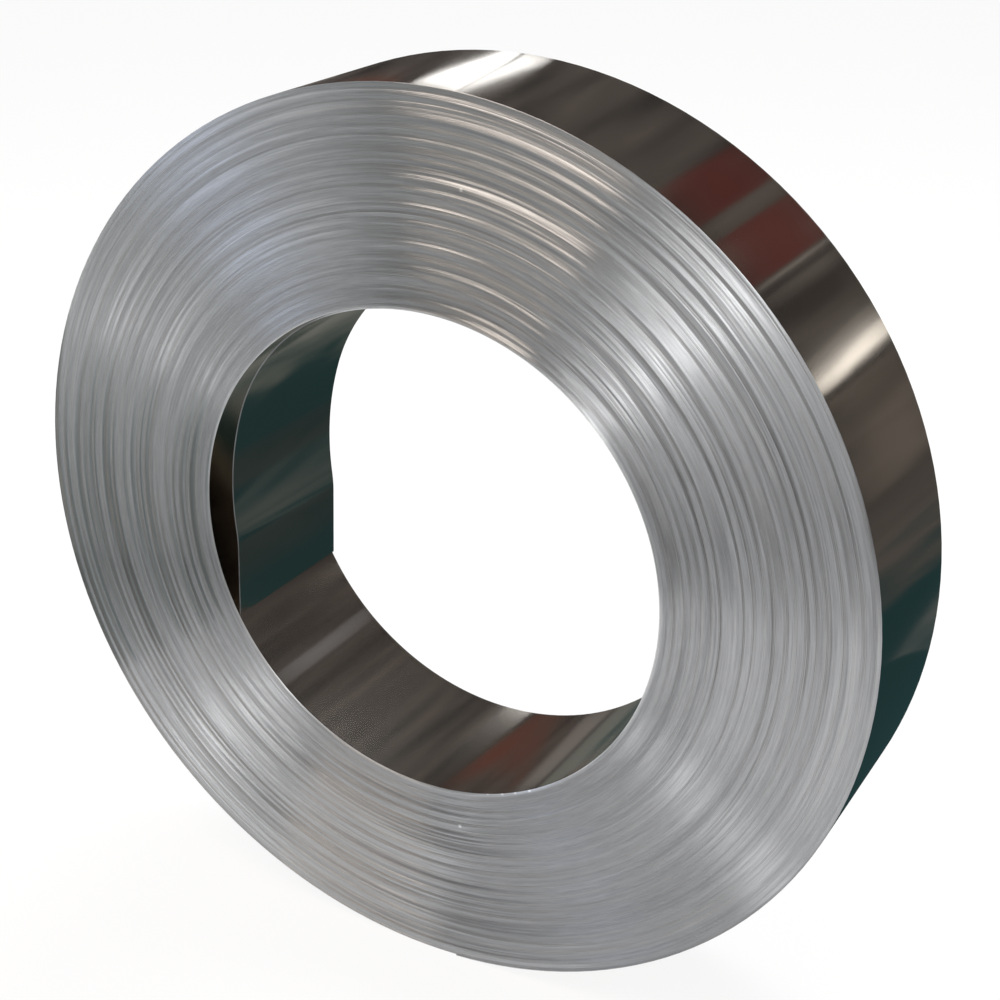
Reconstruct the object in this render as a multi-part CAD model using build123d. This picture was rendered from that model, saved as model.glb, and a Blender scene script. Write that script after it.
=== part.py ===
from build123d import *
import math
import os

# Coil of nickel alloy strip, standing on its rim.
# Frame: X to the right and Z up across the coil, Y along its axis, front end towards -Y.
# The origin is on the floor, midway along the coil's width, under its axis.
# Angles are in degrees about the axis, from +X towards +Z, seen from the front.

# Strip and winding, in millimetres
strip_width = 103.0
strip_thickness = 0.8
bore_radius = 150.0
turns = 154

# Inner end of the strip, which springs away from the bore wall and comes back to it
tail_lift_angle = 107.0
tail_curl_tightening = 30.0
tail_curl_sweep = 54.5
tail_easing_slack = 34.0
tail_easing_sweep = 24.5
tail_kink_radius = 90.0
tail_kink_sweep = 8.5
tail_tip_clearance = 0.3
tail_crotch_run = 19.0

# Ends of the coil, where groups of turns stand proud or lie back
turn_groups = 15
group_levels = 5
group_level_stride = 3
end_unevenness = 0.4
group_width_variation = 0.35
group_width_wave = 2.0

# Worked-out sizes: the loose end curls tighter than the bore, then eases to less than its curve
winding_build = turns * strip_thickness
coil_radius = bore_radius + winding_build
cut_margin = 2.0 * strip_thickness
tail_curl_radius = bore_radius - tail_curl_tightening
tail_easing_radius = bore_radius + tail_easing_slack

# The coil rests on the strip's outer end, which its own weight holds against the floor: the
# end and the turn beside it touch the floor together.
outer_end_angle = 270.0 + math.degrees(math.acos(1 - strip_thickness / coil_radius))


def polar(radius, angle):
    """Point of the coil's section at a radius and an angle about the axis."""
    return Vector(radius * math.cos(math.radians(angle)), radius * math.sin(math.radians(angle)))


def spiral_turn(smallest_radius, growth, small_angle):
    """One turn of the winding as four tangent quarter arcs.

    It starts at the smallest radius and grows clockwise, by the same share each quarter,
    because each arc's centre lies a quarter of the growth behind the last one's.
    """
    step = growth / 4
    centre = Vector(0, 0)
    arcs = []
    for quarter in range(4):
        start_angle = small_angle - 90.0 * quarter
        arc_radius = smallest_radius + quarter * step
        ends = [centre + polar(arc_radius, start_angle - share * 90.0) for share in (0, 0.5, 1)]
        arcs.append(ThreePointArc(*ends))
        centre = centre - polar(step, start_angle - 90.0)
    return arcs


def closed_turn(smallest_radius, growth, small_angle):
    """Face inside one turn of the winding, closed by the step at the strip's end."""
    arcs = spiral_turn(smallest_radius, growth, small_angle)
    step = Line(arcs[-1] @ 1, arcs[0] @ 0)
    return make_face(arcs + [step])


def tail_centre_line():
    """Middle of the loose inner end: a tight curl, an easier bend, a kink back and a straight run.

    The straight run stops just short of the bore wall.
    """
    middle_radius = bore_radius + strip_thickness / 2
    start = polar(middle_radius, tail_lift_angle)
    curl = JernArc(start, polar(1, tail_lift_angle + 90), tail_curl_radius, tail_curl_sweep)
    easing = JernArc(curl @ 1, curl % 1, tail_easing_radius, tail_easing_sweep)
    kink = JernArc(easing @ 1, easing % 1, tail_kink_radius, -tail_kink_sweep)
    bend_end = kink @ 1
    heading = (kink % 1).normalized()
    # The run meets the circle that keeps the tip clear of the wall.
    reach = bore_radius - tail_tip_clearance - strip_thickness / 2
    along = bend_end.dot(heading)
    run = -along + math.sqrt(along * along - bend_end.dot(bend_end) + reach * reach)
    return [curl, easing, kink, Line(bend_end, bend_end + heading * run)]


def strip_side(centre_line, side):
    """The strip's face on one side of its centre line: 1 is towards the axis, -1 away from it."""
    offset = side * strip_thickness / 2
    pieces = []
    for edge in centre_line:
        stations = [0, 0.5, 1] if edge.geom_type == GeomType.CIRCLE else [0, 1]
        points = []
        for station in stations:
            direction = (edge % station).normalized()
            normal = Vector(-direction.Y, direction.X)
            points.append((edge @ station) + normal * offset)
        pieces.append(ThreePointArc(*points) if len(points) == 3 else Line(*points))
    return pieces


def tail_face():
    """Section of the loose inner end, with the crotch where it parts from the wall filled."""
    centre_line = tail_centre_line()
    inner_side = strip_side(centre_line, 1)
    outer_side = strip_side(centre_line, -1)
    root = Line(outer_side[0] @ 0, inner_side[0] @ 0)
    tip = Line(inner_side[-1] @ 1, outer_side[-1] @ 1)
    band = make_face(inner_side + outer_side + [root, tip])
    crotch_angle = tail_lift_angle + math.degrees(tail_crotch_run / bore_radius)
    crotch_share = tail_crotch_run / centre_line[0].length
    crotch = make_face(
        Polyline(
            centre_line[0] @ 0,
            centre_line[0] @ (crotch_share / 2),
            centre_line[0] @ crotch_share,
            polar(bore_radius + cut_margin, crotch_angle),
            polar(bore_radius + cut_margin, tail_lift_angle),
            close=True,
        )
    )
    return band + crotch


def coil_section():
    """Section across the axis: the winding, the step at its outer end and the loose inner end."""
    outline = closed_turn(coil_radius - strip_thickness, strip_thickness, outer_end_angle)
    bore = closed_turn(bore_radius, strip_thickness, tail_lift_angle)
    return outline - bore + tail_face()


def group_radii():
    """Radii at which one group of turns ends and the next begins."""
    shares = [
        1 + group_width_variation * math.sin(group_width_wave * group)
        for group in range(turn_groups)
    ]
    scale = winding_build / sum(shares)
    return [bore_radius + scale * sum(shares[:group]) for group in range(1, turn_groups)]


def group_shift(group):
    """How far a group of turns lies along the axis from the middle, in a few repeating levels."""
    level = (group * group_level_stride) % group_levels
    return end_unevenness * (2 * level / (group_levels - 1) - 1)


def turned_groups():
    """The winding as turned rings of one strip width, each shifted along the axis by its own amount."""
    edges = [bore_radius / 2, *group_radii(), coil_radius + cut_margin]
    front, back = [], []
    for group in range(turn_groups):
        shift = group_shift(group)
        for radius in edges[group : group + 2]:
            front.append((radius, shift - strip_width / 2))
            back.append((radius, shift + strip_width / 2))
    profile = make_face(Polyline(*front, *reversed(back), close=True))
    return revolve(profile, Axis.Y)


def strip_coil():
    """The whole coil as one solid, standing on the floor."""
    length = strip_width + 2 * end_unevenness + cut_margin
    winding = extrude(Plane.XZ * coil_section(), length / 2, both=True)
    coil = winding & turned_groups()
    return Pos(0, 0, -coil.bounding_box().min.Z) * coil


os.makedirs("parts", exist_ok=True)
export_step(strip_coil(), "parts/strip_coil.step")
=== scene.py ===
import math

import bpy
import numpy as np
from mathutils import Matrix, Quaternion, Vector


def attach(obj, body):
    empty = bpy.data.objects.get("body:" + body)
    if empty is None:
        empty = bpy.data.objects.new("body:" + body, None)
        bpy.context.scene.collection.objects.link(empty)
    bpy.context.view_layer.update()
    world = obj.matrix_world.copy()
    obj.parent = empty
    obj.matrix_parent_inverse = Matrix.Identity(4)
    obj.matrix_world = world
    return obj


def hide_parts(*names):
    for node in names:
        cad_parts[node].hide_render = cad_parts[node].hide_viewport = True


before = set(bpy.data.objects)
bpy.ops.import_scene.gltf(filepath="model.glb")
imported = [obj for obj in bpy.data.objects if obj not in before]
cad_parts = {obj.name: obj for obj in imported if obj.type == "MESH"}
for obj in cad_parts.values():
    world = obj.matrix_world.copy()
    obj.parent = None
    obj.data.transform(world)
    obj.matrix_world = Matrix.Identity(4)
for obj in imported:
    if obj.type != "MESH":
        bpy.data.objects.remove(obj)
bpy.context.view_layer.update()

# The coil stands on its rim: X to the right and Z up across it, Y along its axis,
# and its front end towards -Y. Lengths are in metres, and angles in degrees about
# the axis, from +X towards +Z, seen from the front.

MM = 0.001

# The strip and its winding, as in the part's source
STRIP_WIDTH = 103 * MM
STRIP_THICKNESS = 0.8 * MM
TURNS = 154
BORE_RADIUS = 150 * MM
COIL_RADIUS = BORE_RADIUS + TURNS * STRIP_THICKNESS
LIFT_ANGLE = 107.0
OUTER_END_ANGLE = 270 + math.degrees(math.acos(1 - STRIP_THICKNESS / COIL_RADIUS))

# The outer end and the turn beside it touch the floor together
AXIS_HEIGHT = COIL_RADIUS - STRIP_THICKNESS
MIDDLE = Vector((0, 0, AXIS_HEIGHT))

# The loose inner end, as in the part's source: the radius and the sweep of each of its bends
CURL = (BORE_RADIUS - 30 * MM, 54.5)
EASING = (BORE_RADIUS + 34 * MM, 24.5)
KINK = (90 * MM, -8.5)
TIP_CLEARANCE = 0.3 * MM

# The winding runs from turn 0 at the bore wall to the outer end. It stays a little inside the
# coil's radius, because the source's facets do, and fills all but a hair of its pitch.
LAST_TURN = TURNS - 2 + ((LIFT_ANGLE - OUTER_END_ANGLE) / 360) % 1
FACET_CLEARANCE = 0.3 * MM
PITCH_FILLED = 0.995

# How finely the strip is drawn
STATIONS_A_TURN = 156
STATIONS_ON_TAIL = 72
BEND_STEPS = 4000
SHARP_ANGLE = 50

# How far the turns stand out of line at the ends, within the 0.4 mm that the source gives them
MOST_SHIFT = 0.34 * MM
MOST_TILT = 0.05 * MM

# The relief's crests, and how far the broad groups of turns push them along
CREST_SPACING = 5.8 * MM
CREST_WANDER = 0.45

# Groups of turns that stand out together: how wide each is, and how many go round the coil
BROAD_GROUPS = (9 * MM, 3)
NARROW_GROUPS = (2.6 * MM, 5)
TILTED_GROUPS = (2 * MM, 5)

# How often a single turn's shift and tilt change on the way round, and where their noise starts
SHIFTS_A_TURN = 3
SHIFT_START = 50
TILTS_A_TURN = 4
TILT_START = 90

# What each kind of relief adds to the shift
CREST_SHARE = 0.55
BROAD_SHARE = 0.3
NARROW_SHARE = 0.35
SINGLE_SHARE = 0.15

# The relief dies out over this part of a turn on the loose end
CALMING_TURNS = 1 / 8

# Random draws
NOISE_VALUES = 4096
NOISE_ROWS = 1024
BROAD_SEED = 41
NARROW_SEED = 42
SINGLE_SEED = 43
TILT_GROUP_SEED = 44
TILT_SINGLE_SEED = 45


def link(made):
    """Puts an object in the scene and gives it back."""
    bpy.context.scene.collection.objects.link(made)
    return made


def outward_at(angle):
    """The direction outwards from the axis at an angle: its cosine along X, its sine along Z."""
    return Vector((math.cos(math.radians(angle)), 0, math.sin(math.radians(angle))))


def place_on_coil(angle, radius, along):
    """The point at an angle and a radius about the axis, and so far along it from the middle."""
    return MIDDLE + outward_at(angle) * radius + Vector((0, along, 0))


# Shapes worked out with numpy


def eased(share):
    """A cosine ease from 0 to 1: half of one minus the cosine of the share times pi."""
    return (1 - np.cos(np.pi * share)) / 2


def smooth_noise(place, seed):
    """Random values from -1 to 1 at whole numbers, joined by eased steps between them."""
    values = np.random.default_rng(seed).uniform(-1, 1, NOISE_VALUES)
    whole = np.floor(place).astype(int)
    step = eased(place - whole)
    return values[whole % NOISE_VALUES] * (1 - step) + values[(whole + 1) % NOISE_VALUES] * step


def ring_noise(radius, angle, group_width, arcs, seed):
    """Noise over the end face: random values every group width outwards and at so many arcs
    round, blended between neighbours both ways."""
    row = radius / group_width
    low = np.floor(row).astype(int)
    outwards = eased(row - low)
    column = (angle / 360 % 1) * arcs
    left = np.floor(column).astype(int)
    onwards = eased(column - left)
    values = np.random.default_rng(seed).uniform(-1, 1, (NOISE_ROWS, arcs))

    def along_row(line):
        """The values of each place's row, blended between its neighbours round the coil."""
        line = line % NOISE_ROWS
        return values[line, left % arcs] * (1 - onwards) + values[line, (left + 1) % arcs] * onwards

    return along_row(low) * (1 - outwards) + along_row(low + 1) * outwards


def tail_path():
    """Middle line of the loose end, from the lift point to its tip: three tangent arcs and a
    straight run. On an arc the heading turns by one over the radius a metre, and a point is the
    sum of the steps along the headings up to there. The run ends on the circle that keeps the
    tip clear of the bore wall."""
    bends = (CURL, EASING, KINK)
    lengths = [radius * math.radians(abs(sweep)) for radius, sweep in bends]
    curvatures = [math.copysign(1 / radius, sweep) for radius, sweep in bends]
    bend_length = sum(lengths)
    lift = math.radians(LIFT_ANGLE)
    start = (BORE_RADIUS + STRIP_THICKNESS / 2) * np.array([math.cos(lift), math.sin(lift)])

    fine = np.linspace(0, bend_length, BEND_STEPS + 1)
    on_arc = [fine < lengths[0], fine < lengths[0] + lengths[1]]
    curvature = np.select(on_arc, curvatures[:2], curvatures[2])
    step = fine[1] - fine[0]
    heading = math.radians(LIFT_ANGLE + 90) + np.concatenate([[0], np.cumsum(curvature[:-1] * step)])
    middle = (heading[1:] + heading[:-1]) / 2
    bend_x = start[0] + np.concatenate([[0], np.cumsum(np.cos(middle) * step)])
    bend_z = start[1] + np.concatenate([[0], np.cumsum(np.sin(middle) * step)])

    end_heading = math.radians(LIFT_ANGLE + 90 + sum(sweep for _, sweep in bends))
    direction = np.array([math.cos(end_heading), math.sin(end_heading)])
    bend_end = np.array([bend_x[-1], bend_z[-1]])
    reach = BORE_RADIUS - TIP_CLEARANCE - STRIP_THICKNESS / 2
    along = bend_end @ direction
    run = -along + math.sqrt(along**2 - bend_end @ bend_end + reach**2)

    at = np.linspace(0, bend_length + run, STATIONS_ON_TAIL + 1)[1:]
    on_bend = np.minimum(at, bend_length)
    past = np.maximum(at - bend_length, 0)
    x = np.interp(on_bend, fine, bend_x) + past * direction[0]
    z = np.interp(on_bend, fine, bend_z) + past * direction[1]
    return x, z, np.interp(on_bend, fine, heading), at


def strip_stations():
    """Both sides of the strip, station by station, from the tip of the loose end, back along it
    to the bore wall and round every turn to the outer end.

    On the winding the inner side's radius grows by one pitch a turn, clockwise. The outer side
    is one thickness out, or the part of the pitch that a turn fills where that is less. The
    third result counts turns from the bore wall, and is below 0 on the loose end.
    """
    x, z, heading, at = (values[::-1] for values in tail_path())
    half = STRIP_THICKNESS / 2
    normal_x, normal_z = -np.sin(heading), np.cos(heading)
    tail_in = np.stack([x + normal_x * half, z + normal_z * half], axis=1)
    tail_out = np.stack([x - normal_x * half, z - normal_z * half], axis=1)

    pitch = (COIL_RADIUS - FACET_CLEARANCE - BORE_RADIUS) / (LAST_TURN + 1)
    turn = np.linspace(0, LAST_TURN, round(LAST_TURN * STATIONS_A_TURN) + 1)
    angle = np.radians(LIFT_ANGLE - 360 * turn)
    outward = np.stack([np.cos(angle), np.sin(angle)], axis=1)
    inner_radius = BORE_RADIUS + pitch * turn
    outer_radius = inner_radius + min(STRIP_THICKNESS, pitch * PITCH_FILLED)

    inner = np.concatenate([tail_in, outward * inner_radius[:, None]])
    outer = np.concatenate([tail_out, outward * outer_radius[:, None]])
    return inner, outer, np.concatenate([-at / (2 * math.pi * BORE_RADIUS), turn])


def end_relief(inner, turn):
    """How far each station stands proud of the front end, and lies back at the rear, and how
    far it tilts across its own edge.

    The shift is a weighted sum of cosine crests a few turns apart, whose spacing wanders, and of
    the noise of broad groups, narrow groups and single turns, held between -1 and 1. The tilt
    is the mean of a group's noise and a single turn's.
    """
    radius = np.hypot(inner[:, 0], inner[:, 1])
    angle = np.degrees(np.arctan2(inner[:, 1], inner[:, 0]))
    broad = ring_noise(radius, angle, *BROAD_GROUPS, BROAD_SEED)
    narrow = ring_noise(radius, angle, *NARROW_GROUPS, NARROW_SEED)
    single = smooth_noise(turn * SHIFTS_A_TURN + SHIFT_START, SINGLE_SEED)
    crest = np.cos(2 * np.pi * (radius / CREST_SPACING + CREST_WANDER * broad))
    mixed = CREST_SHARE * crest + BROAD_SHARE * broad + NARROW_SHARE * narrow + SINGLE_SHARE * single
    tilt_group = ring_noise(radius, angle, *TILTED_GROUPS, TILT_GROUP_SEED)
    tilt_single = smooth_noise(turn * TILTS_A_TURN + TILT_START, TILT_SINGLE_SEED)
    shift = MOST_SHIFT * np.clip(mixed, -1, 1)
    tilt = MOST_TILT * (tilt_group + tilt_single) / 2
    calm = np.clip(1 + turn / CALMING_TURNS, 0, 1)
    return shift * calm, tilt * calm


def strip_mesh():
    """One closed band with four corners at each station: inner front, outer front, outer back,
    inner back. Its faces join each station to the next, and a quad closes each end. Faces of
    kind 1 are slit edge, and those of kind 0 are the strip's flat sides. A corner's UV is its
    turn and its place across the edge, from 0 inside to 1 outside."""
    inner, outer, turn = strip_stations()
    shift, tilt = end_relief(inner, turn)
    count = len(turn)
    half = STRIP_WIDTH / 2
    corners = np.zeros((count, 4, 3))
    corners[:, [0, 3], 0::2] = inner[:, None]
    corners[:, [1, 2], 0::2] = outer[:, None]
    corners[:, 0, 1] = -half - shift - tilt
    corners[:, 1, 1] = -half - shift + tilt
    corners[:, 2, 1] = half - shift + tilt
    corners[:, 3, 1] = half - shift - tilt
    corners[:, :, 2] += AXIS_HEIGHT

    side = np.arange(4)
    beside = (side + 1) % 4
    quad = np.stack([side, beside, beside + 4, side + 4], axis=1)
    band = (np.arange(count - 1)[:, None, None] * 4 + quad).reshape(-1, 4)
    faces = np.concatenate([band, side[None, ::-1], side[None] + (count - 1) * 4])
    kinds = np.concatenate([np.tile([1, 0, 1, 0], count - 1), [1, 1]])

    across = np.tile([0.0, 1.0, 1.0, 0.0], count)
    uvs = np.stack([np.repeat(turn, 4), across], axis=1)
    return corners.reshape(-1, 3), faces, kinds, uvs


def new_piece(name, vertices, faces, materials, kinds, uvs):
    """A mesh object at the origin from whole arrays, smooth along its faces and sharp at its
    edges."""
    mesh = bpy.data.meshes.new(name)
    mesh.from_pydata(vertices, [], faces.tolist())
    for material in materials:
        mesh.materials.append(material)
    mesh.polygons.foreach_set("material_index", kinds.astype(np.int32))
    layer = mesh.uv_layers.new(name="winding")
    layer.data.foreach_set("uv", uvs[faces.reshape(-1)].astype(np.float32).reshape(-1))
    mesh.shade_smooth()
    mesh.set_sharp_from_angle(angle=math.radians(SHARP_ANGLE))
    mesh.update()
    return link(bpy.data.objects.new(name, mesh))


# Materials

# Blender's noise lies mostly between the first two values, and hardly ever outside the others
NOISE_LOW = 0.36
NOISE_HIGH = 0.64
NOISE_LEAST = 0.3
NOISE_MOST = 0.7
NOISE_ROUGHNESS = 0.6

# Streaks round the slit edge: the degrees that one runs round, its width, where its noise starts
# and its detail. The turn streaks are drawn coarser than the strip's 0.8 mm, to show as the
# photo's do.
BAND_STREAKS = {"arc": 80, "width": 4.5 * MM, "start": 10, "detail": 1.0}
TURN_STREAKS = {"arc": 32, "width": 1.4 * MM, "start": 400, "detail": 1.5}
GRAIN_STREAKS = {"arc": 4, "width": 0.8 * MM, "start": 900, "detail": 2.0}

# What each kind of streak adds to the slit edge's tone, and its colour and roughness where it is
# torn, at the low end of the tone, and where it is burnished, at the high end
BAND_TONE = 0.38
TURN_TONE = 0.36
GRAIN_TONE = 0.26
TORN_GREY = "#929395"
BURNISHED_GREY = "#b3b4b6"
TORN_ROUGHNESS = 0.35
BURNISHED_ROUGHNESS = 0.28

# Painted shade and highlights on the slit edge, each as two turns and the factors at and beyond
# them: painted shade on the loose end, a painted highlight on the innermost turns, darker turns
# towards the bore and lighter outermost turns
PAINTED_LIGHT_BY_TURN = (
    (-0.03, 0.0, 0.3, 1.0),
    (0.0, 3.0, 1.6, 1.0),
    (3.0, 60.0, 0.82, 1.0),
    (LAST_TURN - 32.0, LAST_TURN - 16.0, 1.0, 1.07),
)

# Nicks in the front end, each as its angle, its radius and its size, and their painted glint
NICKS = (
    (-81.9, 175.0 * MM, 1.5 * MM),
    (82.4, 222.6 * MM, 1.3 * MM),
    (-61.4, 150.8 * MM, 1.3 * MM),
    (-65.4, 150.7 * MM, 1.0 * MM),
    (-69.0, 150.6 * MM, 1.1 * MM),
    (-73.0, 150.6 * MM, 0.9 * MM),
)
NICK_GLINT = 0.8

# How far the slit edge leans outwards, as a slope: over its rounded lip, in a band and in a turn.
# A band's and a turn's lean is multiplied by a grip, which is greatest at the most pushed angle
# and opposite it, and least a quarter of the way round from them.
LIP_LEAN = 0.3
BAND_LEAN = 0.48
TURN_LEAN = 0.26
MOST_PUSHED_ANGLE = 52
LEAST_GRIP = 0.34
GRIP_RISE = 1.7

# Where the edge rolls off, each as two turns and the lean that it gains from one to the other
ROLL_OFFS = ((3.0, 0.0, -0.5), (LAST_TURN - 2.0, LAST_TURN, 0.6))

# Slight waves in the strip's flat sides
WAVE_LENGTH = 50 * MM
WAVE_DEPTH = 0.3 * MM

WHITE = "#ffffff"


def linear(hex_colour):
    """The linear colour of an sRGB hex value: its low values are divided by 12.92, and the
    others are offset by 0.055, divided by 1.055 and raised to 2.4."""
    parts = [int(hex_colour[i : i + 2], 16) / 255 for i in (1, 3, 5)]
    return [p / 12.92 if p <= 0.04045 else ((p + 0.055) / 1.055) ** 2.4 for p in parts] + [1.0]


def node(tree, kind, inputs=None, stops=(), **settings):
    """Adds a node with its settings. Each input gets a value, or is joined to another node's
    output, which for a whole node is its first one. A colour ramp gets stops, each as its
    place and its colour."""
    made = tree.nodes.new("ShaderNode" + kind)
    for name, value in settings.items():
        setattr(made, name, value)
    for socket, value in (inputs or {}).items():
        if isinstance(value, bpy.types.Node):
            value = value.outputs[0]
        if isinstance(value, bpy.types.NodeSocket):
            tree.links.new(value, made.inputs[socket])
        else:
            made.inputs[socket].default_value = value
    for index, (place, colour) in enumerate(stops):
        made.color_ramp.elements[index].position = place
        made.color_ramp.elements[index].color = linear(colour)
    return made


def new_material(name):
    """An empty node material and its tree."""
    material = bpy.data.materials.new(name)
    material.use_nodes = True
    material.node_tree.nodes.clear()
    return material, material.node_tree


def about_the_axis(tree):
    """The outward direction and the distance from the coil's axis, in metres: the place less
    the coil's middle, with nothing along the axis, made one long or measured."""
    where = node(tree, "TexCoord").outputs["Object"]
    centred = node(tree, "VectorMath", {0: where, 1: MIDDLE}, operation="SUBTRACT")
    flat = node(tree, "VectorMath", {0: centred, 1: (1, 0, 1)}, operation="MULTIPLY")
    outward = node(tree, "VectorMath", {0: flat}, operation="NORMALIZE")
    radius = node(tree, "VectorMath", {0: flat}, operation="LENGTH")
    return outward, radius.outputs["Value"]


def ring_streaks(tree, outward, radius, arc, width, start, detail):
    """Noise in arcs about the axis, each about so many degrees long and so wide. The pattern's
    place is the outward direction, for the arcs, plus the radius along Y, for the rings, so it
    has no seam."""
    around = node(tree, "VectorMath", {0: outward, "Scale": 180 / math.pi / arc}, operation="SCALE")
    across = node(tree, "Math", {0: radius, 1: 1 / width, 2: start}, operation="MULTIPLY_ADD")
    rings = node(tree, "CombineXYZ", {"Y": across})
    place = node(tree, "VectorMath", {0: around, 1: rings}, operation="ADD")
    return node(
        tree, "TexNoise",
        {"Vector": place, "Scale": 1.0, "Detail": detail, "Roughness": NOISE_ROUGHNESS},
    )


def painted_edge_light(tree, turn):
    """Painted shade and highlights on the slit edge's colour: the product of the painted factors of
    its turn, plus a painted glint within half a nick's size of a nick, which fades out up to its size."""
    shade = 1.0
    for first, last, start, end in PAINTED_LIGHT_BY_TURN:
        part = node(
            tree, "MapRange",
            {"Value": turn, "From Min": first, "From Max": last, "To Min": start, "To Max": end},
        )
        shade = node(tree, "Math", {0: part, 1: shade}, operation="MULTIPLY")
    where = node(tree, "TexCoord").outputs["Object"]
    for angle, radius, size in NICKS:
        spot = place_on_coil(angle, radius, -STRIP_WIDTH / 2)
        away = node(tree, "VectorMath", {0: where, 1: spot}, operation="DISTANCE").outputs["Value"]
        # Painted glint at each nick: it lightens the edge's colour near the nick's spot
        torn = node(
            tree, "MapRange",
            {"Value": away, "From Min": size / 2, "From Max": size, "To Min": NICK_GLINT, "To Max": 0.0},
        )
        shade = node(tree, "Math", {0: shade, 1: torn}, operation="ADD")
    return shade


def edge_normal(tree, outward, turn, across, bands, turns):
    """The way the slit edge faces: the mesh's own normal plus the outward direction times the
    lean. The lean goes from minus to plus the lip's over the edge, swings with bands and turns
    times their grip, and rolls off at the first and last turns. The grip follows the squared
    cosine of the angle from the most pushed one."""
    lean = node(tree, "Math", {0: across, 1: 2 * LIP_LEAN, 2: -LIP_LEAN}, operation="MULTIPLY_ADD")
    most_pushed = outward_at(MOST_PUSHED_ANGLE)
    cosine = node(tree, "VectorMath", {0: outward, 1: most_pushed}, operation="DOT_PRODUCT")
    squared = node(tree, "Math", {0: cosine.outputs["Value"], 1: 2.0}, operation="POWER")
    grip = node(tree, "Math", {0: squared, 1: GRIP_RISE, 2: LEAST_GRIP}, operation="MULTIPLY_ADD")
    for streaks, most in ((bands, BAND_LEAN), (turns, TURN_LEAN)):
        swing = node(
            tree, "MapRange",
            {
                "Value": streaks, "From Min": NOISE_LEAST, "From Max": NOISE_MOST,
                "To Min": -most, "To Max": most,
            },
        )
        lean = node(tree, "Math", {0: swing, 1: grip, 2: lean}, operation="MULTIPLY_ADD")
    for first, last, gained in ROLL_OFFS:
        rolled = node(
            tree, "MapRange",
            {"Value": turn, "From Min": first, "From Max": last, "To Min": 0.0, "To Max": gained},
        )
        lean = node(tree, "Math", {0: lean, 1: rolled}, operation="ADD")
    facing = node(tree, "NewGeometry").outputs["Normal"]
    leaning = node(tree, "VectorMath", {0: outward, "Scale": lean}, operation="SCALE")
    tipped = node(tree, "VectorMath", {0: facing, 1: leaning}, operation="ADD")
    return node(tree, "VectorMath", {0: tipped}, operation="NORMALIZE")


def slit_edge_nickel():
    """Nickel alloy strip, slit edge: sheared metal with a rounded lip, half burnished and half
    torn. Each turn catches the light on its own, and its fine lines run round the coil, which
    draws highlights out into narrow fans that point at the axis."""
    material, tree = new_material("nickel_alloy_slit_edge")
    outward, radius = about_the_axis(tree)
    bands = ring_streaks(tree, outward, radius, **BAND_STREAKS)
    turns = ring_streaks(tree, outward, radius, **TURN_STREAKS)
    grain = ring_streaks(tree, outward, radius, **GRAIN_STREAKS)
    tone = 0.0
    for streaks, share in ((bands, BAND_TONE), (turns, TURN_TONE), (grain, GRAIN_TONE)):
        tone = node(tree, "Math", {0: streaks, 1: share, 2: tone}, operation="MULTIPLY_ADD")
    greys = ((NOISE_LOW, TORN_GREY), (NOISE_HIGH, BURNISHED_GREY))
    grey = node(tree, "ValToRGB", {"Fac": tone}, stops=greys)
    rough = node(
        tree, "MapRange",
        {
            "Value": tone, "From Min": NOISE_LOW, "From Max": NOISE_HIGH,
            "To Min": TORN_ROUGHNESS, "To Max": BURNISHED_ROUGHNESS,
        },
    )
    winding = node(tree, "SeparateXYZ", {0: node(tree, "UVMap", uv_map="winding")})
    turn, across = winding.outputs[0], winding.outputs[1]
    # The edge's colour is scaled by painted shade and painted highlights, along the winding and at the
    # nicks
    shade = painted_edge_light(tree, turn)
    shader = node(
        tree, "BsdfPrincipled",
        {
            "Base Color": node(tree, "VectorMath", {0: grey, "Scale": shade}, operation="SCALE"),
            "Metallic": 1.0,
            "Roughness": rough,
            "Anisotropic": 0.98,
            "Tangent": outward,
            "Normal": edge_normal(tree, outward, turn, across, bands, turns),
        },
    )
    node(tree, "OutputMaterial", {"Surface": shader})
    return material


def bright_annealed_nickel():
    """Nickel alloy strip, bright annealed: rolled between polished rolls and annealed in
    hydrogen, so it mirrors its surroundings, a little blurred, and its slight waves bend what
    it mirrors."""
    material, tree = new_material("nickel_alloy_bright_annealed")
    where = node(tree, "TexCoord").outputs["Object"]
    waves = node(tree, "TexNoise", {"Vector": where, "Scale": 1 / WAVE_LENGTH, "Detail": 1.0})
    bump = node(tree, "Bump", {"Height": waves, "Strength": 0.25, "Distance": WAVE_DEPTH})
    along_axis = node(tree, "CombineXYZ", {"Y": 1.0})
    shader = node(
        tree, "BsdfPrincipled",
        {
            "Base Color": linear("#cdc7bf"),
            "Metallic": 1.0,
            "Roughness": 0.1,
            "Anisotropic": 0.6,
            "Tangent": along_axis,
            "Normal": bump,
        },
    )
    node(tree, "OutputMaterial", {"Surface": shader})
    return material


# The coil

vertices, faces, kinds, uvs = strip_mesh()
finishes = [bright_annealed_nickel(), slit_edge_nickel()]
coil = new_piece("wound_strip", vertices, faces, finishes, kinds, uvs)
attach(coil, "root")
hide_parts("strip_coil")


# The studio

# The camera, at the photo's angle: how far it looks down and is turned to the left, in degrees,
# and its lens and sensor, in Blender's millimetres
CAMERA_PLACE = Vector((0.4877, -0.8323, 0.7253))
LOOKS_DOWN = 24.25
TURNED_LEFT = 29.139
LENS = 64.22
SENSOR_WIDTH = 36.0

UP = (0, 0, 1)
X_AXIS = 0
Y_AXIS = 1
WALL_BEHIND = 1.6
FLOOR_SIZE = 60.0

# Strength of the world where it lights the scene, and the share of the floor that is plain white
# where it is seen
ROOM_LIGHT = 0.7
FLOOR_WHITENESS = 0.85

# Mottles on a card, and how far a second colour takes over at the ends of its change
MOTTLES_A_METRE = 6.0
MOTTLE_DETAIL = 5.0
TAKEOVER = 0.3


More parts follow.
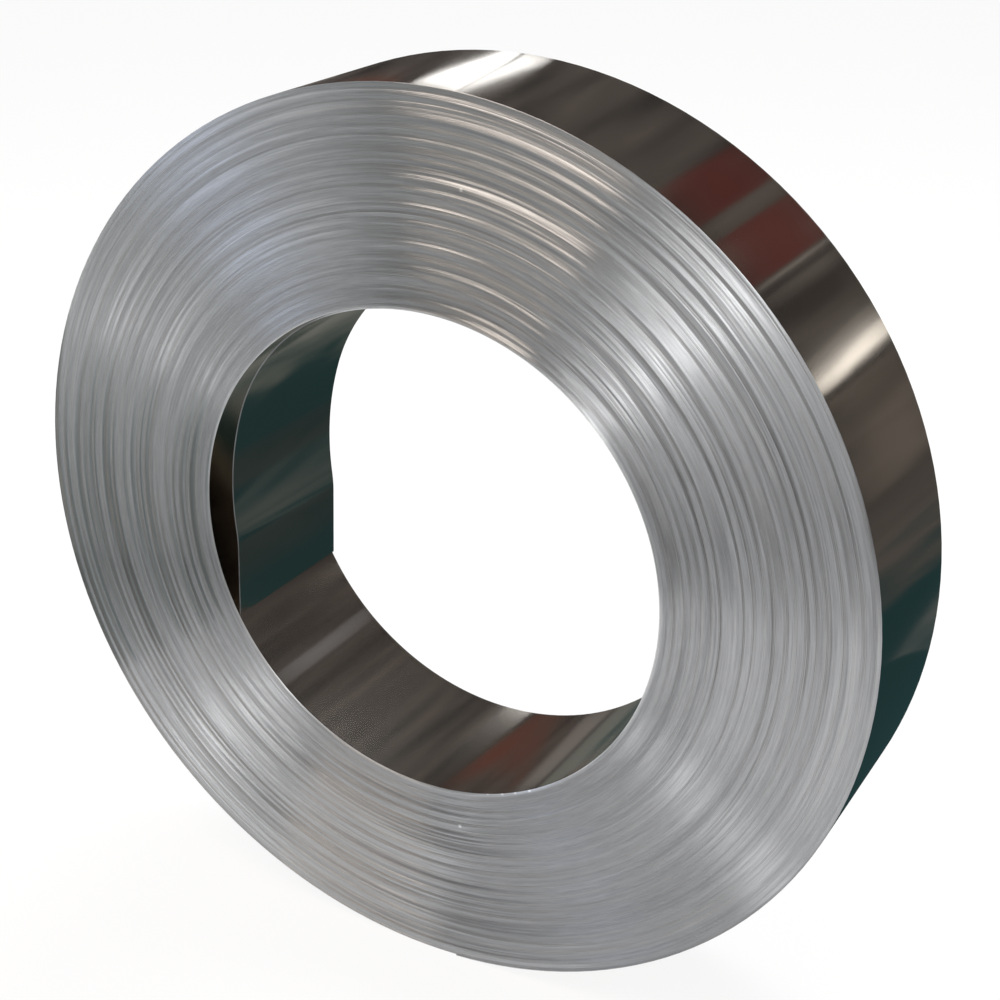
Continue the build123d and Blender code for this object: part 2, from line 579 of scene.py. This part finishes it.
def new_sheet(name, corners):
    """A mesh of one face through its corners."""
    mesh = bpy.data.meshes.new(name)
    mesh.from_pydata([tuple(corner) for corner in corners], [], [tuple(range(len(corners)))])
    return mesh


def on_floor(height, *points):
    """Corners from points over the floor, at one height."""
    return [(x, y, height) for x, y in points]


def rectangle(middle, width, height, facing=UP):
    """The corners of a rectangle about a middle point, which faces a direction."""
    turned = Vector(facing).to_track_quat("Z", "Y")
    signs = ((-1, -1), (1, -1), (1, 1), (-1, 1))
    return [Vector(middle) + turned @ Vector((x * width / 2, y * height / 2, 0)) for x, y in signs]


def arch(inner, outer, wall, steps=24):
    """The corners of an upright half ring that stands on the floor, along two half circles."""
    angles = [math.pi * i / steps for i in range(steps + 1)]
    outside = [(outer * math.cos(a), wall, outer * math.sin(a)) for a in angles]
    inside = [(inner * math.cos(a), wall, inner * math.sin(a)) for a in reversed(angles)]
    return outside + inside


def mirrored_at(angle, along, in_bore):
    """The point on the wall plane behind that the camera sees mirrored at a place on the rim or
    the bore wall: the sight line to that place, turned back about the surface's normal."""
    place = place_on_coil(angle, BORE_RADIUS if in_bore else COIL_RADIUS, along)
    normal = -outward_at(angle) if in_bore else outward_at(angle)
    view = (CAMERA_PLACE - place).normalized()
    bounce = 2 * normal.dot(view) * normal - view
    return place + bounce * ((WALL_BEHIND - place.y) / bounce.y)


def mirrored_patch(front_angles, back_angles, in_bore=False):
    """The corners of the part of the wall plane that is mirrored between two angles at the
    strip's front edge and two at its back edge."""
    half = STRIP_WIDTH / 2
    front = [mirrored_at(angle, -half, in_bore) for angle in front_angles]
    back = [mirrored_at(angle, half, in_bore) for angle in back_angles]
    return front + back[::-1]


def card(name, corners, colour, strength=1.0, second=None, change=None):
    """A photographer's card, seen only in the metal. A second colour is mottled into the first,
    and a change, as an axis and two places along it, makes it take over from one to the other."""
    mesh = new_sheet(name, corners)
    made = link(bpy.data.objects.new(name, mesh))
    material, tree = new_material(name)
    paint = linear(colour)
    if second:
        place = node(tree, "TexCoord").outputs["Object"]
        share = node(
            tree, "TexNoise",
            {
                "Vector": place, "Scale": MOTTLES_A_METRE,
                "Detail": MOTTLE_DETAIL, "Roughness": NOISE_ROUGHNESS,
            },
        )
        if change:
            axis, start, end = change
            along = node(tree, "SeparateXYZ", {0: place}).outputs[axis]
            drift = node(
                tree, "MapRange",
                {
                    "Value": along, "From Min": start, "From Max": end,
                    "To Min": -TAKEOVER, "To Max": TAKEOVER,
                },
            )
            share = node(tree, "Math", {0: share, 1: drift}, operation="ADD")
        colours = ((NOISE_LOW, colour), (NOISE_HIGH, second))
        paint = node(tree, "ValToRGB", {"Fac": share}, stops=colours)
    glow = node(tree, "Emission", {"Color": paint, "Strength": strength})
    node(tree, "OutputMaterial", {"Surface": glow})
    mesh.materials.append(material)
    made.visible_camera = False
    made.visible_diffuse = False
    made.visible_shadow = False


def soft_light(name, place, colour, size, radiance, roll=0.0):
    """A soft light of a width and a height that points at the coil, turned by its roll, and as
    bright as so many white cards, so its power is that times pi times its area."""
    light = bpy.data.lights.new(name, "AREA")
    light.shape = "RECTANGLE"
    light.size, light.size_y = size
    light.energy = radiance * math.pi * size[0] * size[1]
    light.color = linear(colour)[:3]
    made = link(bpy.data.objects.new(name, light))
    made.location = place
    made.visible_camera = False
    aimed = (MIDDLE - Vector(place)).to_track_quat("-Z", "Y")
    made.rotation_euler = (aimed @ Quaternion(UP, math.radians(roll))).to_euler()


def seen_directly(tree):
    """1 for camera, glossy and transmitted rays, and 0 for the rays that light the scene."""
    path = node(tree, "LightPath").outputs
    seen = path["Is Camera Ray"]
    for ray in ("Is Glossy Ray", "Is Transmission Ray"):
        seen = node(tree, "Math", {0: seen, 1: path[ray]}, operation="ADD")
    return node(tree, "Math", {0: seen, 1: 1.0}, operation="MINIMUM")


def white_world():
    """White where it is seen, and a plain even light elsewhere."""
    world = bpy.data.worlds.new("studio")
    bpy.context.scene.world = world
    world.use_nodes = True
    tree = world.node_tree
    tree.nodes.clear()
    lit = node(tree, "Background", {"Color": linear(WHITE), "Strength": ROOM_LIGHT})
    shown = node(tree, "Background", {"Color": linear(WHITE), "Strength": 1.0})
    mixed = node(tree, "MixShader", {0: seen_directly(tree), 1: lit, 2: shown})
    node(tree, "OutputWorld", {"Surface": mixed})


def white_floor():
    """A white floor that keeps the coil's shadow: where it is seen, most of it is plain white."""
    mesh = new_sheet("floor", rectangle((0, 0, 0), FLOOR_SIZE, FLOOR_SIZE))
    floor = link(bpy.data.objects.new("floor", mesh))
    material, tree = new_material("pale_floor")
    paint = node(tree, "BsdfDiffuse", {"Color": linear("#fafafa")})
    glow = node(tree, "Emission", {"Color": linear(WHITE), "Strength": 1.0})
    share = node(tree, "Math", {0: seen_directly(tree), 1: FLOOR_WHITENESS}, operation="MULTIPLY")
    mix = node(tree, "MixShader", {0: share, 1: paint, 2: glow})
    node(tree, "OutputMaterial", {"Surface": mix})
    mesh.materials.append(material)


white_world()
white_floor()

# The long slanted light in front gives the two narrow fans, at the upper right and lower left,
# and the others light the rest of the front end
soft_light("front_strip", (-0.12, -2.8, 0.4), "#fffefc", size=(0.64, 1.8), radiance=3.2, roll=-45)
soft_light("front_strip_high", (1.1, -2.5, 1.5), WHITE, size=(0.3, 0.8), radiance=5.0, roll=-45)
card("floor_light_streak", rectangle((-0.27, -1.15, 0.015), 0.08, 1.9), WHITE, strength=1.4)
soft_light("left_blue_strip", (-1.9, -1.47, 0.5), "#b8ccf5", size=(0.42, 1.1), radiance=1.05, roll=50)
soft_light("left_soft", (-2.2, -0.45, 0.22), WHITE, size=(0.7, 0.42), radiance=1.8)
card(
    "left_floor_light",
    on_floor(
        0.015,
        (-0.50, -0.76), (-0.95, -0.94), (-1.6, -1.05), (-2.4, -1.05),
        (-2.4, -0.82), (-1.6, -0.82), (-0.95, -0.73), (-0.50, -0.61),
    ),
    WHITE, strength=1.5,
)
soft_light("overhead_warm", (-0.4, -1.1, 2.3), "#ffeedd", size=(1.7, 0.9), radiance=4.2)

# Lights behind, for the back end, where neither the rim nor the bore mirrors them to the camera
soft_light("back_strip", (0.0, 1.5, 0.4), WHITE, size=(0.2, 0.66), radiance=10.0, roll=45)
soft_light("back_overhead", (0.0, 1.1, 2.3), WHITE, size=(1.8, 0.8), radiance=6.0)

# Grey at both sides, which the rim mirrors when it is seen from there
card(
    "grey_card_right", rectangle((3.0, 0.3, 0.75), 4.4, 1.5, facing=(-1, 0, 0)),
    "#4c4a48", second="#8c8883",
)
card(
    "grey_card_left", rectangle((-3.6, 1.4, 0.75), 3.2, 1.5, facing=(1, 0, 0)),
    "#4c4a48", second="#8c8883",
)

# Grey behind the camera and over the floor in front, so that the end isn't all white. Where cards
# over the floor overlap, the higher one shows.
card("grey_card_camera_side", rectangle((-0.9, -3.3, 2.1), 3.8, 3.7, facing=(0.2, 1, -0.3)), "#585858")
card(
    "grey_card_front_left", rectangle((-1.75, -1.35, 0.01), 2.7, 2.7),
    "#b4b8b6", second="#7f8a87", change=(Y_AXIS, -1.05, -0.55),
)
card(
    "grey_card_front", rectangle((1.2, -2.33, 0.01), 3.2, 3.38),
    "#c4c4c4", second="#9a9a9a", change=(X_AXIS, 0.4, 1.6),
)
card("grey_card_near", rectangle((0.1, -0.15, 0.004), 0.4, 0.16), "#d0d0d0")
card("white_card_near", rectangle((-0.09, -0.2, 0.006), 0.16, 0.26), WHITE, strength=1.2)
card(
    "white_strip_near", on_floor(0.008, (-0.05, -0.34), (-0.02, -0.38), (0.26, -0.17), (0.23, -0.13)),
    WHITE, strength=1.5,
)

# Dark and grey cards behind, upright and over the floor, which the rim, the bore and the loose
# end mirror
card(
    "dark_arch", arch(inner=0.55, outer=2.4, wall=WALL_BEHIND + 0.1),
    "#2f2d2c", second="#625c58",
)
card(
    "dark_card_low", rectangle((0.4, 0.61, 0.005), 3.6, 1.18),
    "#243c3e", second="#5b5551", change=(Y_AXIS, 0.45, 1.35),
)
card("dark_card_low_left", rectangle((-1.0, 1.51, 0.005), 1.0, 0.62), "#4a4845")
card("dark_card_low_right", rectangle((1.35, 1.51, 0.005), 1.7, 0.62), "#5b5551", second="#4a4845")
card(
    "grey_card_low_left", rectangle((-0.56, 0.6, 0.007), 1.32, 0.8),
    "#72746f", second="#263d3e", change=(X_AXIS, -0.35, 0.05),
)
card("dark_card_low_middle", rectangle((0.06, 0.42, 0.006), 0.3, 0.48), "#2c393b", second="#3b4341")
card("grey_card_low_middle", rectangle((0.3, 0.6, 0.007), 0.2, 0.32), "#575d5b", second="#2f4344")

# The patches that the photo's room leaves on the rim and in the bore, by their angles there
card("smoke_patch_upper", mirrored_patch((37.6, 43.6), (38.2, 43.4)), "#7a746f", second="#3c3835")
card("smoke_patch_lower", mirrored_patch((19.0, 31.0), (19.0, 31.0)), "#7f7770", second="#5a544f")
card(
    "warm_patch_in_bore", mirrored_patch((274, 294), (279, 284), in_bore=True),
    "#6e443a", second="#5d4841",
)
card("pale_patch_low_in_bore", mirrored_patch((295, 300.5), (293, 300.5), in_bore=True), "#7f7a77")
card("warm_patch_upper", mirrored_patch((53.6, 59.4), (53.8, 59.6)), "#5e2c28")
card("warm_patch_lower", mirrored_patch((45.2, 51.2), (45.2, 51.4)), "#64302b")
card("white_patch_top", mirrored_patch((84.4, 90.2), (88.0, 90.4)), WHITE, strength=2.8)
card("white_patch_top_edge", mirrored_patch((83.9, 84.2), (83.6, 87.5)), WHITE, strength=2.2)
card("white_patch_right", mirrored_patch((31.9, 33.3), (32.5, 34.5)), "#fffaf2", strength=2.0)
card("white_patch_right_fade", mirrored_patch((33.3, 34.4), (34.5, 35.4)), "#d6d2cc")
card("white_patch_right_edge", mirrored_patch((34.4, 35.6), (35.4, 36.5)), "#a19d98")
card(
    "white_patch_right_far_edge", mirrored_patch((35.6, 37.2), (36.5, 38.2)),
    "#79746f", second="#55504c",
)
card("thin_light_line", mirrored_patch((44.5, 44.9), (44.5, 44.9)), "#928d88")
card(
    "pale_patch_in_bore", mirrored_patch((224.2, 227.8), (224.0, 227.6), in_bore=True),
    "#8c8d91", second="#6d6a69",
)

camera_data = bpy.data.cameras.new("camera")
camera_data.lens = LENS
camera_data.sensor_width = SENSOR_WIDTH
camera = link(bpy.data.objects.new("camera", camera_data))
camera.location = CAMERA_PLACE
camera.rotation_euler = (math.radians(90 - LOOKS_DOWN), 0, math.radians(TURNED_LEFT))
bpy.context.scene.camera = camera
bpy.context.scene.view_settings.view_transform = "Standard"
